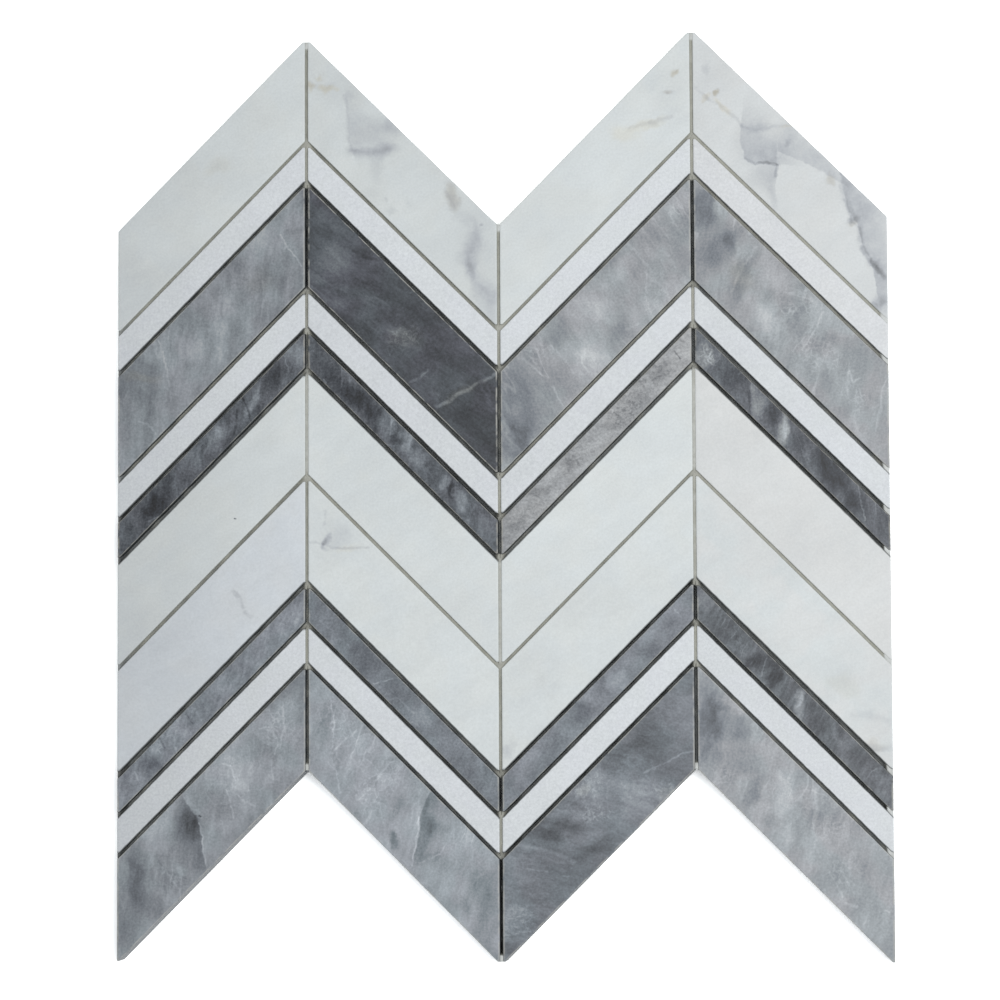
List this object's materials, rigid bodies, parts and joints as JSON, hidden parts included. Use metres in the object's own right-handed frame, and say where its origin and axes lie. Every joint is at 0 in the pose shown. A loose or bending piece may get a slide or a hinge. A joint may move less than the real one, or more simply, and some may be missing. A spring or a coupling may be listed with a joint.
{
  "type": "marble mosaic tile",
  "caption": "Mesh-backed mosaic sheet of leaning white and grey marble chips, large and thin strips laid as a chevron with narrow open joints, for bedding on walls or floors.",
  "frame": {"origin": "centre of the sheet on the surface that its mesh rests on", "axes": "+X to the right across the columns of chips, +Y up the sheet towards the zigzag's upper peaks, +Z out of the stone's face"},
  "size_m": [0.269, 0.3208, 0.01],
  "materials": {
    "white_marble": "honed",
    "crystalline_white_marble": "honed",
    "grey_marble": "honed",
    "dark_grey_marble": "honed",
    "glass_fibre": "matte"
  },
  "bodies": {
    "root": {"grey_chip_row03_col1": "grey_marble", "grey_chip_row03_col2": "grey_marble", "grey_chip_row03_col3": "grey_marble", "grey_chip_row03_col4": "grey_marble", "grey_chip_row10_col1": "grey_marble", "grey_chip_row10_col2": "grey_marble", "grey_chip_row10_col3": "grey_marble", "grey_chip_row10_col4": "grey_marble", "mesh_cross_yarns": "glass_fibre", "mesh_long_yarns": "glass_fibre", "thin_dark_chip_row05_col1": "dark_grey_marble", "thin_dark_chip_row05_col2": "dark_grey_marble", "thin_dark_chip_row05_col3": "dark_grey_marble", "thin_dark_chip_row05_col4": "dark_grey_marble", "thin_grey_chip_row08_col1": "grey_marble", "thin_grey_chip_row08_col2": "grey_marble", "thin_grey_chip_row08_col3": "grey_marble", "thin_grey_chip_row08_col4": "grey_marble", "thin_white_chip_row02_col1": "crystalline_white_marble", "thin_white_chip_row02_col2": "crystalline_white_marble", "thin_white_chip_row02_col3": "crystalline_white_marble", "thin_white_chip_row02_col4": "crystalline_white_marble", "thin_white_chip_row04_col1": "crystalline_white_marble", "thin_white_chip_row04_col2": "crystalline_white_marble", "thin_white_chip_row04_col3": "crystalline_white_marble", "thin_white_chip_row04_col4": "crystalline_white_marble", "thin_white_chip_row09_col1": "crystalline_white_marble", "thin_white_chip_row09_col2": "crystalline_white_marble", "thin_white_chip_row09_col3": "crystalline_white_marble", "thin_white_chip_row09_col4": "crystalline_white_marble", "white_chip_row01_col1": "white_marble", "white_chip_row01_col2": "white_marble", "white_chip_row01_col3": "white_marble", "white_chip_row01_col4": "white_marble", "white_chip_row06_col1": "white_marble", "white_chip_row06_col2": "white_marble", "white_chip_row06_col3": "white_marble", "white_chip_row06_col4": "white_marble", "white_chip_row07_col1": "white_marble", "white_chip_row07_col2": "white_marble", "white_chip_row07_col3": "white_marble", "white_chip_row07_col4": "white_marble"}
  },
  "joints": []
}
